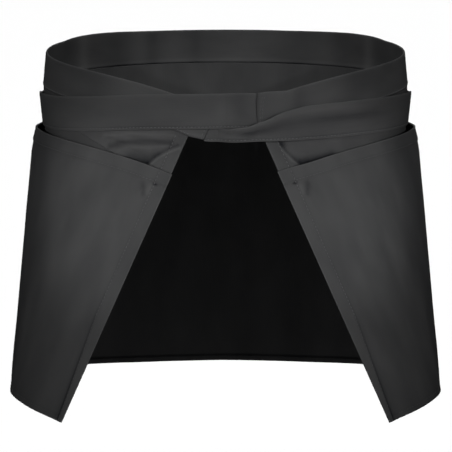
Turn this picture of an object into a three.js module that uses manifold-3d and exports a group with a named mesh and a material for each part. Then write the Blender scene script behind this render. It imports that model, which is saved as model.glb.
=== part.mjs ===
// A short waist apron of black twill, worn and open at the back: a cloth rectangle on a waistband,
// two ties that cross behind the wearer and are knotted in front, and two wide pockets.
// Millimetres, +Z up, the wearer faces +Y, and the origin is the middle of the waist, level with
// the seam in front.

import * as THREE from 'three';
import Module from 'manifold-3d';

const manifoldModule = await Module();
manifoldModule.setup();
const { Manifold, Mesh: ManifoldMesh } = manifoldModule;

// The waist that the apron is wrapped round, seen from above
const WAIST_HALF_WIDTH = 183;
const WAIST_HALF_DEPTH = 129;
const WAIST_POWER = 2.1;

// How far the hem stands out from the seam, and how square its ring is
const FLARE_SIDE = 33.5;
const FLARE_FRONT = 5;
const FLARE_BACK = 50;
const HEM_POWER = 3;

// The cloth rectangle, which leaves this much of the waist open behind
const BACK_GAP = 66.4;
const PANEL_LENGTH = 312;
const CLOTH_THICK = 1;
const HEM_THICK = 2;
const SIDE_HEM = 11.5;
const BOTTOM_HEM = 8;

// How far the seam sinks from the front to the corners at the back
const SIDE_DROOP = 8;
const BACK_DROOP = 28.5;

// The waistband, and how far its ends run past the corners of the panel
const BAND_HEIGHT = 34;
const BAND_THICK = 2.4;
const BAND_PAST_LEFT = 16;
const BAND_PAST_RIGHT = 1;
const BAND_RISE = 2.5;
const BAND_RISE_AT = 0.3;
const BAND_RISE_REACH = 0.105;
const BAND_LEAN_LEFT = -8;
const BAND_LEAN_RIGHT = 6.5;
const RIGHT_LIFT = 9;
const RIGHT_LIFT_FADE = 8;
const BAND_END_REACH = 36;

// The ties
const TIE_WIDTH = 34.5;
const TIE_THICK = 1.8;
const TIE_LOW = 41;
const TIE_PINCH_THICK = 4.6;
const TIE_TUCK = 4.6;
const TIE_TUCK_REACH = 95;
const TIE_TUCK_ENDS = 1.9;
const TIE_STAND_OFF = 3.6;
const TIE_LEAN_IN = 6.4;

// The knot in front and its two tails
const KNOT_WIDTH = 30;
const KNOT_HEIGHT = 26;
const KNOT_DEPTH = 17;
const TAIL_LENGTH = 150;
const TAIL_WIDTH = 32;

// The pockets
const MOUTH_DROP = 41;
const MOUTH_HEM = 13;
const MOUTH_SAG = 5.6;
const MOUTH_SAG_AT = 0.44;
const MOUTH_SAG_REACH = 47;
const MOUTH_SAG_ENDS = 0.45;
const POCKET_FRONT = 150;
const POCKET_OVER = 1.2;
const POCKET_GAPE = 4.5;
const PANEL_HOLLOW = 2.2;
const PANEL_HOLLOW_FROM = 0.32;

// Pieces that lie on each other keep this gap
const CLEARANCE = 0.3;

const TWILL = { color: 0x1d1e1f, roughness: 0.92, metalness: 0 };

function mix(from, to, share) {
  return from + (to - from) * share;
}

function smooth(from, to, value) {
  return THREE.MathUtils.smoothstep(value, from, to);
}

// A column of a table, read between its rows
function readColumn(rows, key, column, at) {
  const next = rows.findIndex((row) => row[key] > at);
  if (next === 0) {
    return rows[0][column];
  }
  if (next < 0) {
    return rows[rows.length - 1][column];
  }
  const [before, after] = [rows[next - 1], rows[next]];
  return mix(before[column], after[column], (at - before[key]) / (after[key] - before[key]));
}

// The ring seen from above, from the front centre round the +X side to the back centre
function ringRows(halfWidth, halfDepth, power, centre) {
  const rows = [];
  const steps = 600;
  for (let i = 0; i <= steps; i++) {
    const angle = (Math.PI * i) / steps;
    const x = halfWidth * Math.pow(Math.abs(Math.sin(angle)), 2 / power);
    const depth = halfDepth * Math.pow(Math.abs(Math.cos(angle)), 2 / power);
    const y = centre + Math.sign(Math.cos(angle)) * depth;
    const last = rows[i - 1];
    const length = last ? last.length + Math.hypot(x - last.x, y - last.y) : 0;
    rows.push({ length, x, y });
  }
  return rows;
}

const waistRing = ringRows(WAIST_HALF_WIDTH, WAIST_HALF_DEPTH, WAIST_POWER, 0);
const hemRing = ringRows(
  WAIST_HALF_WIDTH + FLARE_SIDE,
  WAIST_HALF_DEPTH + (FLARE_FRONT + FLARE_BACK) / 2,
  HEM_POWER,
  (FLARE_FRONT - FLARE_BACK) / 2,
);
const halfRing = waistRing[waistRing.length - 1].length;
const halfPanel = halfRing - BACK_GAP / 2;

// The seam sinks slowly to the sides and fast to the corners, and half as fast past them
function seamDrop(distance) {
  const share = Math.min(distance / halfPanel, 1);
  const slope = (2 * SIDE_DROOP + 6 * BACK_DROOP) / halfPanel;
  const past = Math.max(distance - halfPanel, 0);
  return SIDE_DROOP * share ** 2 + BACK_DROOP * share ** 6 + (past * slope) / 2;
}

// The threads that run down the cloth: each joins a point of the seam to one of the hem, and seam,
// hem and thread all keep the length that they have in the flat cloth
function threadRows() {
  const rows = [];
  const step = 3;
  let seamLength = 0;
  let hemLength = 0;
  for (let distance = 0; seamLength < halfRing; distance += step) {
    const last = rows[rows.length - 1];
    const top = -seamDrop(distance);
    seamLength += last ? Math.sqrt(step ** 2 - (top - last.top) ** 2) : 0;
    const topX = readColumn(waistRing, 'length', 'x', seamLength);
    const topY = readColumn(waistRing, 'length', 'y', seamLength);
    hemLength += last ? Math.sqrt(step ** 2 - last.hemSlope ** 2 * step ** 2) : 0;
    const lowX = readColumn(hemRing, 'length', 'x', hemLength);
    const lowY = readColumn(hemRing, 'length', 'y', hemLength);
    const out = Math.hypot(lowX - topX, lowY - topY);
    const low = top - Math.sqrt(PANEL_LENGTH ** 2 - out ** 2);
    const hemSlope = last ? Math.abs(low - last.low) / step : 0;
    rows.push({ distance, seamLength, topX, topY, top, lowX, lowY, low, hemSlope });
  }
  return rows;
}

const threads = threadRows();
const thread = (column, distance) => readColumn(threads, 'distance', column, distance);

// The right end of the seam is drawn up by its tie, and the cloth below it less and less
function rightLift(across, down) {
  const drawn = smooth(halfPanel - BAND_END_REACH, halfPanel + BAND_PAST_RIGHT, across);
  return RIGHT_LIFT * drawn * (1 - down / PANEL_LENGTH) ** RIGHT_LIFT_FADE;
}

// The hem hangs a little lower in front and a little higher at the sides. Both columns are shares,
// of half the panel's width and of its length
const HEM_SAG = [
  { away: 0, sag: 0.0067 },
  { away: 0.11, sag: 0.0093 },
  { away: 0.215, sag: 0.0122 },
  { away: 0.32, sag: 0.0122 },
  { away: 0.5, sag: 0.004 },
  { away: 0.65, sag: -0.001 },
  { away: 0.74, sag: -0.005 },
  { away: 0.81, sag: -0.006 },
  { away: 0.86, sag: -0.0035 },
  { away: 0.905, sag: 0.0002 },
  { away: 0.935, sag: 0.0015 },
  { away: 1, sag: 0 },
];

// The ties draw the cloth in at the sides of the body
function tuck(across, down) {
  const away = (Math.abs(across) - halfRing / 2) / TIE_TUCK_REACH;
  const under = smooth(0, TIE_LOW, down) * (1 - smooth(TIE_LOW, TIE_TUCK_ENDS * TIE_LOW, down));
  return TIE_TUCK * Math.exp(-away * away) * under;
}

// Soft folds of the panel: where they lie across and down it, how far they reach and how high they rise
const FOLDS = [
  { across: -0.83, down: 0.094, reachAcross: 0.1, reachDown: 0.035, rise: 1.9 },
  { across: -0.72, down: 0.118, reachAcross: 0.06, reachDown: 0.022, rise: 0.9 },
  { across: 0.8, down: 0.1, reachAcross: 0.09, reachDown: 0.035, rise: 0.8 },
];

function foldRise(across, down) {
  return FOLDS.reduce((sum, fold) => {
    const u = (across / halfPanel - fold.across) / fold.reachAcross;
    const v = (down / PANEL_LENGTH - fold.down) / fold.reachDown;
    return sum + fold.rise * Math.exp(-(u * u) - v * v);
  }, 0);
}

function onThread(across, down) {
  const side = across < 0 ? -1 : 1;
  const distance = Math.abs(across);
  const sag = readColumn(HEM_SAG, 'away', 'sag', distance / halfPanel);
  const share = (down / PANEL_LENGTH) * (1 + sag);
  return new THREE.Vector3(
    side * mix(thread('topX', distance), thread('lowX', distance), share),
    mix(thread('topY', distance), thread('lowY', distance), share),
    mix(thread('top', distance), thread('low', distance), share),
  );
}

// A point of the worn panel, from its place on the flat cloth
function onPanel(across, down) {
  return onThread(across, down - rightLift(across, down));
}

// A place on the worn panel and the way out from it, on top of its folds and before its tuck
function panelPlace(across, down) {
  const point = onPanel(across, down);
  const alongSeam = onPanel(across + 1, down).sub(onPanel(across - 1, down));
  const alongThread = onPanel(across, down + 1).sub(onPanel(across, down - 1));
  const out = alongSeam.cross(alongThread).normalize();
  return { point: point.addScaledVector(out, foldRise(across, down)), out };
}

// The waistband stands square on the seam, in line with the cloth below it. Its head rises a little
// between the middle of the front and the sides. It is drawn back at the right end, and on past the
// foot at the left one
function bandPlace(atFoot, height) {
  const away = (Math.abs(atFoot) / halfPanel - BAND_RISE_AT) / BAND_RISE_REACH;
  const rise = (BAND_RISE / BAND_HEIGHT) * Math.exp(-away * away);
  const lean = atFoot > 0 ? BAND_LEAN_RIGHT : -BAND_LEAN_LEFT;
  const drawn = smooth(halfPanel - BAND_END_REACH, halfPanel, Math.abs(atFoot));
  const across = atFoot - (lean * drawn * height) / BAND_HEIGHT;
  const foot = onPanel(across, 0);
  const alongSeam = onPanel(across + 1, 0).sub(onPanel(across - 1, 0)).normalize();
  const out = alongSeam.clone().cross(onPanel(across, 1).sub(foot)).normalize();
  const up = alongSeam.clone().cross(out).normalize();
  return { point: foot.addScaledVector(up, height * (1 + rise)), out };
}

// A point that stands off the waist, from its way round (0 in front, to each side positive and
// negative, halfRing behind) and its height
function roundPlace(around, height, off) {
  const side = around < 0 ? -1 : 1;
  const length = Math.abs(around);
  const read = (column) => readColumn(threads, 'seamLength', column, length);
  const ahead = readColumn(waistRing, 'length', 'x', length + 1);
  const behind = readColumn(waistRing, 'length', 'x', length - 1);
  const aheadY = readColumn(waistRing, 'length', 'y', length + 1);
  const behindY = readColumn(waistRing, 'length', 'y', length - 1);
  const out = new THREE.Vector3(-(aheadY - behindY), ahead - behind, 0).normalize();
  const fall = new THREE.Vector3(read('lowX') - read('topX'), read('lowY') - read('topY'), 0);
  const flare = fall.dot(out) / (read('top') - read('low'));
  const point = new THREE.Vector3(
    readColumn(waistRing, 'length', 'x', length),
    readColumn(waistRing, 'length', 'y', length),
    height,
  );
  point.addScaledVector(out, flare * (read('top') - height) + off);
  point.x *= side;
  return point;
}

// A closed solid between an inner and an outer sheet of points, one row for each step down it
function solidBetween(outer, inner) {
  const rows = outer.length;
  const columns = outer[0].length;
  const positions = [...outer.flat(), ...inner.flat()].flatMap((p) => [p.x, p.y, p.z]);
  const outside = (row, column) => row * columns + column;
  const inside = (row, column) => rows * columns + row * columns + column;
  const index = [];
  const quad = (a, b, c, d) => index.push(a, b, c, a, c, d);
  for (let r = 0; r + 1 < rows; r++) {
    for (let c = 0; c + 1 < columns; c++) {
      quad(outside(r, c), outside(r + 1, c), outside(r + 1, c + 1), outside(r, c + 1));
      quad(inside(r, c), inside(r, c + 1), inside(r + 1, c + 1), inside(r + 1, c));
    }
    quad(outside(r, 0), inside(r, 0), inside(r + 1, 0), outside(r + 1, 0));
    const end = columns - 1;
    quad(outside(r, end), outside(r + 1, end), inside(r + 1, end), inside(r, end));
  }
  for (let c = 0; c + 1 < columns; c++) {
    const end = rows - 1;
    quad(outside(0, c), outside(0, c + 1), inside(0, c + 1), inside(0, c));
    quad(outside(end, c), inside(end, c), inside(end, c + 1), outside(end, c + 1));
  }
  const way = new THREE.Vector3().subVectors(outer[0][0], inner[0][0]);
  const down = new THREE.Vector3().subVectors(outer[1][0], outer[0][0]);
  const across = new THREE.Vector3().subVectors(outer[0][1], outer[0][0]);
  const facesOut = down.cross(across).dot(way) > 0;
  const geometry = new THREE.BufferGeometry();
  geometry.setAttribute('position', new THREE.Float32BufferAttribute(positions, 3));
  geometry.setIndex(facesOut ? index : index.reverse());
  return geometry;
}

// A wall of cloth over a grid of places on the flat piece
function clothWall(acrossStops, downStops, place, outerFace, innerFace) {
  const sheet = (face) =>
    downStops.map((down) =>
      acrossStops.map((across) => {
        const { point, out } = place(across, down);
        return point.clone().addScaledVector(out, face(across, down));
      }),
    );
  return solidBetween(sheet(outerFace), sheet(innerFace));
}

// Even stops between two ends
function evenStops(from, to, count) {
  return Array.from({ length: count + 1 }, (_, i) => mix(from, to, i / count));
}

function mesh(name, geometry) {
  const material = new THREE.MeshStandardMaterial({ ...TWILL, name: `${name}_twill` });
  geometry.computeVertexNormals();
  const made = new THREE.Mesh(geometry, material);
  made.name = name;
  return made;
}

const HEM_EDGE = 0.8;

// A pocket stands off the panel most at the side of the body, and lies on it along its seams. Behind
// it the panel hangs a little hollow
const GAPE_ACROSS = [
  { share: 0, gape: 0 },
  { share: 0.16, gape: 0.1 },
  { share: 0.36, gape: 0.55 },
  { share: 0.55, gape: 0.95 },
  { share: 0.7, gape: 1 },
  { share: 0.86, gape: 0.6 },
  { share: 0.96, gape: 0.1 },
  { share: 1, gape: 0 },
];
const GAPE_DOWN = [
  { share: 0, gape: 0.5 },
  { share: 0.05, gape: 0.85 },
  { share: 0.1, gape: 1.04 },
  { share: 0.3, gape: 1.08 },
  { share: 0.42, gape: 1 },
  { share: 0.6, gape: 0.85 },
  { share: 0.75, gape: 0.65 },
  { share: 0.85, gape: 0.55 },
  { share: 0.94, gape: 0.3 },
  { share: 1, gape: 0 },
];

const pocketEdge = halfPanel + POCKET_OVER;

function pocketRoom(across, down) {
  const acrossShare = (pocketEdge - Math.abs(across)) / (pocketEdge - POCKET_FRONT);
  const downShare = (down - MOUTH_DROP) / (PANEL_LENGTH - MOUTH_DROP);
  return (
    readColumn(GAPE_ACROSS, 'share', 'gape', acrossShare) *
    readColumn(GAPE_DOWN, 'share', 'gape', downShare)
  );
}

// The mouth sinks a little where it turns the side of the body
function mouthSag(across, down) {
  const away = (Math.abs(across) - MOUTH_SAG_AT * halfRing) / MOUTH_SAG_REACH;
  const fall = (down - MOUTH_DROP) / (PANEL_LENGTH - MOUTH_DROP);
  return MOUTH_SAG * Math.exp(-away * away) * (1 - smooth(0, MOUTH_SAG_ENDS, fall));
}

function panel() {
  const across = [
    -halfPanel,
    -halfPanel + SIDE_HEM,
    ...evenStops(-halfPanel + SIDE_HEM + HEM_EDGE, halfPanel - SIDE_HEM - HEM_EDGE, 74),
    halfPanel - SIDE_HEM,
    halfPanel,
  ];
  const down = [
    2 * CLEARANCE,
    ...[0.03, 0.06, 0.094, 0.13, 0.17, 0.22, 0.32, 0.46, 0.6, 0.74, 0.88].map(
      (share) => share * PANEL_LENGTH,
    ),
    PANEL_LENGTH - BOTTOM_HEM - HEM_EDGE,
    PANEL_LENGTH - BOTTOM_HEM,
    PANEL_LENGTH,
  ];
  const outerFace = (a, d) => {
    const hollow = PANEL_HOLLOW * smooth(0, PANEL_HOLLOW_FROM, d / PANEL_LENGTH) * pocketRoom(a, d);
    return CLOTH_THICK / 2 - hollow - tuck(a, d);
  };
  const innerFace = (a, d) => {
    const atSide = smooth(halfPanel - SIDE_HEM - HEM_EDGE, halfPanel - SIDE_HEM, Math.abs(a));
    const atFoot = smooth(PANEL_LENGTH - BOTTOM_HEM - HEM_EDGE, PANEL_LENGTH - BOTTOM_HEM, d);
    return outerFace(a, d) - mix(CLOTH_THICK, HEM_THICK, Math.max(atSide, atFoot));
  };
  return mesh('apron_panel', clothWall(across, down, panelPlace, outerFace, innerFace));
}

function waistband() {
  const across = evenStops(-halfPanel - BAND_PAST_LEFT, halfPanel + BAND_PAST_RIGHT, 84);
  const height = [1, 0.5, 0].map((share) => share * BAND_HEIGHT);
  const outerFace = () => BAND_THICK / 2;
  const innerFace = () => -BAND_THICK / 2;
  return mesh('waistband', clothWall(across, height, bandPlace, outerFace, innerFace));
}

function pocket(name, side) {
  const distances = [
    ...evenStops(POCKET_FRONT, halfPanel - SIDE_HEM - HEM_EDGE, 28),
    halfPanel - SIDE_HEM,
    pocketEdge,
  ];
  const across = side > 0 ? distances : distances.map((d) => -d).reverse();
  const down = [
    MOUTH_DROP,
    MOUTH_DROP + MOUTH_HEM,
    MOUTH_DROP + MOUTH_HEM + HEM_EDGE,
    ...[0.22, 0.3, 0.42, 0.55, 0.7, 0.82, 0.92].map((share) => share * PANEL_LENGTH),
    PANEL_LENGTH,
  ];
  const innerFace = (a, d) => CLOTH_THICK / 2 + 1.5 * CLEARANCE + POCKET_GAPE * pocketRoom(a, d);
  const outerFace = (a, d) => {
    const hem = 1 - smooth(MOUTH_DROP + MOUTH_HEM, MOUTH_DROP + MOUTH_HEM + HEM_EDGE, d);
    return innerFace(a, d) + mix(CLOTH_THICK, HEM_THICK, hem);
  };
  const place = (a, d) => panelPlace(a, d + mouthSag(a, d));
  return mesh(name, clothWall(across, down, place, outerFace, innerFace));
}

// How far the end of the waistband is from the middle of the back at each height, from its foot up,
// on the side of the sign
function bandEnd(side, past) {
  return [0, 0.5, 1].map((share) => {
    const { point } = bandPlace(side * (halfPanel + past), share * BAND_HEIGHT);
    return { height: point.z, from: Math.abs(point.x) };
  });
}

// Where a tie is on its way: 0 at the end of the waistband that it is sewn to, 1 at the middle of
// the back, 2 at the other end of the waistband, 3 at the side of the body and 4 at the knot. The
// distance from the middle of the back is positive on the tie's own side
function tieBack(at, own, other) {
  const stops = [
    { at: 0, back: own[0].from - CLEARANCE },
    { at: 1, back: 0 },
    { at: 2, back: -other[0].from },
    { at: 3, back: -halfRing / 2 },
    { at: 4, back: -(halfRing - KNOT_WIDTH / 2) },
  ];
  return readColumn(stops, 'at', 'back', at);
}

// The lower edge is a share of TIE_LOW below the seam in front, the height is a share of the tie's
// width, off is a share of the way out to lie on the waistband, bulk is a share of the pinch, and
// tuck says how far the tie leans in below the waistband, as it does at the sides of the body
const TIE_OVER_ROWS = [
  { at: 0, low: 0.7, wide: 1, off: 0, bulk: 0, tuck: 0 },
  { at: 0.5, low: 0.69, wide: 1, off: 0.25, bulk: 0, tuck: 0 },
  { at: 1, low: 0.69, wide: 1, off: 0.8, bulk: 0, tuck: 0 },
  { at: 1.3, low: 0.69, wide: 1, off: 1, bulk: 0, tuck: 0 },
  { at: 2, low: 0.7, wide: 1, off: 1, bulk: 0, tuck: 0 },
  { at: 2.25, low: 0.74, wide: 1, off: 1, bulk: 0, tuck: 0 },
  { at: 2.5, low: 0.86, wide: 1, off: 1, bulk: 0, tuck: 0.05 },
  { at: 2.72, low: 0.985, wide: 1, off: 1.2, bulk: 0, tuck: 0.6 },
  { at: 3, low: 1.07, wide: 0.97, off: 1.35, bulk: 0, tuck: 1 },
  { at: 3.1, low: 1.12, wide: 0.93, off: 1.35, bulk: 0, tuck: 0.95 },
  { at: 3.5, low: 0.95, wide: 1, off: 1.2, bulk: 0, tuck: 0.3 },
  { at: 3.84, low: 0.93, wide: 0.94, off: 1.2, bulk: 0, tuck: 0 },
  { at: 4, low: 0.8, wide: 0.6, off: 1.2, bulk: 0.5, tuck: 0 },
];
const TIE_UNDER_ROWS = [
  { at: 0, low: 1, wide: 0.96, off: 0, bulk: 0, tuck: 0 },
  { at: 0.3, low: 1.01, wide: 0.78, off: 0, bulk: 0.2, tuck: 0 },
  { at: 0.6, low: 1.01, wide: 0.378, off: 0.1, bulk: 0.7, tuck: 0 },
  { at: 0.8, low: 1.01, wide: 0.372, off: 0.6, bulk: 0.9, tuck: 0 },
  { at: 1, low: 1.01, wide: 0.374, off: 1.25, bulk: 1, tuck: 0 },
  { at: 1.2, low: 1.01, wide: 0.396, off: 1.9, bulk: 1, tuck: 0 },
  { at: 1.6, low: 1, wide: 0.43, off: 2, bulk: 0.8, tuck: 0 },
  { at: 2, low: 0.99, wide: 0.55, off: 1.7, bulk: 0.5, tuck: 0 },
  { at: 2.12, low: 0.99, wide: 0.83, off: 1.35, bulk: 0.25, tuck: 0 },
  { at: 2.25, low: 0.975, wide: 0.97, off: 1.1, bulk: 0, tuck: 0 },
  { at: 2.5, low: 0.96, wide: 1, off: 1, bulk: 0, tuck: 0.05 },
  { at: 2.8, low: 1, wide: 1, off: 1.2, bulk: 0, tuck: 0.75 },
  { at: 3, low: 1.07, wide: 0.97, off: 1.35, bulk: 0, tuck: 1 },
  { at: 3.1, low: 1.12, wide: 0.93, off: 1.35, bulk: 0, tuck: 0.95 },
  { at: 3.5, low: 0.95, wide: 1, off: 1.2, bulk: 0, tuck: 0.3 },
  { at: 3.84, low: 0.93, wide: 0.94, off: 1.2, bulk: 0, tuck: 0 },
  { at: 4, low: 0.8, wide: 0.6, off: 1.2, bulk: 0.5, tuck: 0 },
];

// Both ties enter the knot alike, and the knot rests on the cloth
const KNOT_ROW = TIE_OVER_ROWS[TIE_OVER_ROWS.length - 1];
const KNOT_OFF = CLOTH_THICK / 2 + KNOT_DEPTH / 2 + 2 * CLEARANCE;

// Each tie runs from its own end of the waistband, leans as it does there, and lies clear of the cloth
// that it crosses
function tie(name, rows, ownPast, otherPast, side) {
  const layer = BAND_THICK / 2 + 4 * CLEARANCE + TIE_THICK / 2;
  const own = bandEnd(side, ownPast);
  const other = bandEnd(-side, otherPast);
  const across = [
    ...evenStops(0, 2, 24),
    ...evenStops(2, 3, 20).slice(1),
    ...evenStops(3, 4, 22).slice(1),
  ];
  const strip = (down, face) =>
    across.map((at) => {
      const read = (column) => readColumn(rows, 'at', column, at);
      const back = tieBack(at, own, other);
      const seam = readColumn(threads, 'seamLength', 'top', halfRing - Math.abs(back));
      const mouthEdge = MOUTH_DROP + mouthSag(halfRing - Math.abs(back), MOUTH_DROP);
      const mouth = at > 2 ? seam - mouthEdge + 5 * CLEARANCE : -Infinity;
      const low = Math.max(-read('low') * TIE_LOW, mouth);
      const height = low + read('wide') * TIE_WIDTH * (1 - down);
      const lean = own[0].from - readColumn(own, 'height', 'from', height);
      const round = Math.sin(Math.PI * down);
      const bulk = mix(TIE_THICK, TIE_PINCH_THICK * (0.35 + 0.65 * round), read('bulk'));
      const stand = mix(layer * read('off'), TIE_STAND_OFF - TIE_LEAN_IN * down, read('tuck'));
      const off = mix(stand, KNOT_OFF, smooth(3.8, 4, at));
      const leant = back - lean * (1 - smooth(0, 0.9, at));
      const around = side * Math.sign(leant || 1) * (halfRing - Math.abs(leant));
      return roundPlace(around, height, off + (face * bulk) / 2);
    });
  const shares = [0, 0.12, 0.5, 0.88, 1];
  const sheet = (face) => shares.map((down) => strip(down, face));
  const [outer, inner] = [sheet(1), sheet(-1)];
  return mesh(name, solidBetween(outer, inner));
}

// The knot with its tails
function frontKnot() {
  const height = KNOT_ROW.wide * TIE_WIDTH * 0.5 - KNOT_ROW.low * TIE_LOW;
  const lie = CLOTH_THICK / 2 + CLEARANCE;
  const centre = roundPlace(0, height, KNOT_OFF);
  const lump = new THREE.SphereGeometry(0.5, 20, 12);
  lump.scale(KNOT_WIDTH, KNOT_DEPTH, KNOT_HEIGHT);
  lump.translate(centre.x, centre.y, centre.z);
  const tails = [
    { lean: 0.2, layer: 1.6 },
    { lean: -0.26, layer: 3.9 },
  ].map(({ lean, layer }) => {
    const steps = evenStops(0, 1, 8);
    const sheet = (face) =>
      steps.map((share) =>
        [-0.5, -0.17, 0.17, 0.5].map((edge) => {
          const wide = TAIL_WIDTH * mix(0.45, 1, smooth(0, 0.35, share));
          const down = share * TAIL_LENGTH;
          const around = lean * down + edge * wide;
          const off = lie + TIE_THICK / 2 + layer + (face * TIE_THICK) / 2;
          return roundPlace(around, height - 0.25 * KNOT_HEIGHT - down, off);
        }),
      );
    return solidBetween(sheet(1), sheet(-1));
  });
  const joined = [lump, ...tails].map(toManifold).reduce((sum, next) => sum.add(next));
  return mesh('front_knot', fromManifold(joined));
}

function toManifold(geometry) {
  const found = new Map();
  const source = geometry.getAttribute('position');
  const vertices = [];
  const remap = [];
  for (let i = 0; i < source.count; i++) {
    const point = [source.getX(i), source.getY(i), source.getZ(i)];
    const key = point.map((value) => Math.round(value * 1e4)).join();
    if (!found.has(key)) {
      found.set(key, vertices.length / 3);
      vertices.push(...point);
    }
    remap.push(found.get(key));
  }
  const triangles = [];
  const index = geometry.getIndex().array;
  for (let i = 0; i < index.length; i += 3) {
    const corners = [remap[index[i]], remap[index[i + 1]], remap[index[i + 2]]];
    if (new Set(corners).size === 3) {
      triangles.push(...corners);
    }
  }
  const solid = new Manifold(
    new ManifoldMesh({
      numProp: 3,
      vertProperties: new Float32Array(vertices),
      triVerts: new Uint32Array(triangles),
    }),
  );
  return solid;
}

function fromManifold(solid) {
  const found = solid.getMesh();
  const geometry = new THREE.BufferGeometry();
  geometry.setAttribute('position', new THREE.BufferAttribute(found.vertProperties, 3));
  geometry.setIndex(new THREE.BufferAttribute(found.triVerts, 1));
  return geometry;
}

const apron = new THREE.Group();
apron.add(
  panel(),
  waistband(),
  tie('tie_left', TIE_UNDER_ROWS, BAND_PAST_LEFT, BAND_PAST_RIGHT, -1),
  tie('tie_right', TIE_OVER_ROWS, BAND_PAST_RIGHT, BAND_PAST_LEFT, 1),
  frontKnot(),
  pocket('pocket_left', -1),
  pocket('pocket_right', 1),
);

export default apron;
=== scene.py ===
import bisect
import math

import bmesh
import bpy
from mathutils import Matrix, Vector


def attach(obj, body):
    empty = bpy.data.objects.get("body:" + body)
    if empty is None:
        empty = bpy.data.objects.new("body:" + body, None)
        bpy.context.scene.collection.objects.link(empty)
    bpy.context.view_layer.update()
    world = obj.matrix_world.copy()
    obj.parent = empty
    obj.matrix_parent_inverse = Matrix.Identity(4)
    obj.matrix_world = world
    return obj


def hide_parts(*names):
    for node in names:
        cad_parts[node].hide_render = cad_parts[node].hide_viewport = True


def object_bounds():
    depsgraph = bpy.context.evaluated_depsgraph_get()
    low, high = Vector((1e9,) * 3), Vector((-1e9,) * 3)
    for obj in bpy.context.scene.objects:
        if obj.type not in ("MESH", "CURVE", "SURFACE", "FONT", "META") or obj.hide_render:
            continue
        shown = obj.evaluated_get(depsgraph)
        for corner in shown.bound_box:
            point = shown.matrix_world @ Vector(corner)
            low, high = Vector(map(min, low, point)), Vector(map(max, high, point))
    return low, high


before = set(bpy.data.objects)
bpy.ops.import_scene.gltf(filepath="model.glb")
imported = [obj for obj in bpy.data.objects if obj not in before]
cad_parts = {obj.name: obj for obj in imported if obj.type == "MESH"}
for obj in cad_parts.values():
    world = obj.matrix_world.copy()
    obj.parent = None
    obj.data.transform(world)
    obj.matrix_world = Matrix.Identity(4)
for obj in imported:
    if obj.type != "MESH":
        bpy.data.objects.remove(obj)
cad_box = [list(corner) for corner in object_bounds()]

# The view
# A long lens looks a little down on the back of the apron, as a catalogue picture is taken. The
# picture is square, and the apron nearly fills it.
VIEW_DISTANCE = 6.0
VIEW_TILT = math.radians(10)
VIEW_HEIGHT = -0.150
LENS = 471.0
SHIFT = (0.0013, 0.0024)

camera_data = bpy.data.cameras.new("view_camera")
camera_data.lens = LENS
camera_data.sensor_width = 36
camera_data.shift_x, camera_data.shift_y = SHIFT
camera_data.clip_end = 100
camera = bpy.data.objects.new("view_camera", camera_data)
camera.location = (
    0,
    -VIEW_DISTANCE * math.cos(VIEW_TILT),
    VIEW_HEIGHT + VIEW_DISTANCE * math.sin(VIEW_TILT),
)
camera.rotation_euler = (math.pi / 2 - VIEW_TILT, 0, 0)
bpy.context.scene.collection.objects.link(camera)
bpy.context.scene.camera = camera

# The light
# Two lamps to each side behind the camera, a narrow low one and a wide one, whose soft round pools
# overlap on the back of the apron. A high one reaches into the waist, one more lights the front,
# and one overhead whitens the floor.
POOLS = [
    {"name": "narrow_left", "turn": -50, "tilt": 5, "watts": 3150, "aside": 0.034, "drop": 0.122},
    {"name": "narrow_right", "turn": 50, "tilt": 5, "watts": 3150, "aside": -0.034, "drop": 0.122},
    {"name": "wide_left", "turn": -45, "tilt": 17, "watts": 2950, "aside": 0.100, "drop": 0.155},
    {"name": "wide_right", "turn": 45, "tilt": 17, "watts": 2950, "aside": -0.100, "drop": 0.155},
    {"name": "high_lamp", "turn": 0, "tilt": 17, "watts": 2500, "aside": 0, "drop": -0.088},
    {"name": "front_lamp", "turn": 180, "tilt": 25, "watts": 5500, "aside": 0, "drop": 0.125},
]
POOL_REACH = {"narrow": 0.138, "wide": 0.37, "high": 0.165, "front": 0.5}
LAMP_RADIUS = {"narrow": 0.025, "wide": 0.08, "high": 0.03, "front": 0.12}
POOL_DISTANCE = 6.0
SKY_STRENGTH = 3.5
SKY_SPREAD = math.radians(10)
ROOM_LIGHT = 0.01

for pool in POOLS:
    turn = math.radians(pool["turn"])
    tilt = math.radians(pool["tilt"])
    spot = bpy.data.lights.new(pool["name"], "SPOT")
    spot.energy = pool["watts"]
    kind = pool["name"].split("_")[0]
    spot.shadow_soft_size = LAMP_RADIUS[kind]
    spot.spot_size = 2 * math.atan(POOL_REACH[kind] / POOL_DISTANCE)
    spot.spot_blend = 1
    level = math.cos(tilt)
    beam = Vector((-math.sin(turn) * level, math.cos(turn) * level, -math.sin(tilt)))
    aside = pool["aside"]
    aim = Vector((math.cos(turn) * aside, math.sin(turn) * aside, -pool["drop"]))
    lamp = bpy.data.objects.new(pool["name"], spot)
    lamp.location = aim - beam * POOL_DISTANCE
    lamp.rotation_euler = (math.pi / 2 - tilt, 0, turn)
    bpy.context.scene.collection.objects.link(lamp)

sky = bpy.data.lights.new("lamp_above", "SUN")
sky.energy = SKY_STRENGTH
sky.angle = SKY_SPREAD
bpy.context.scene.collection.objects.link(bpy.data.objects.new("lamp_above", sky))

room = bpy.data.worlds.new("room")
room.use_nodes = True
room.node_tree.nodes["Background"].inputs["Color"].default_value = (1, 1, 1, 1)
room.node_tree.nodes["Background"].inputs["Strength"].default_value = ROOM_LIGHT
bpy.context.scene.world = room
bpy.context.scene.view_settings.view_transform = "Standard"

# The floor
# A plain pale studio floor, well below the apron, which hangs at the height of a waist.
FLOOR_DROP = 0.62
FLOOR_REACH = 40
FLOOR_COLOUR = (0.92, 0.92, 0.92, 1)


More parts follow.
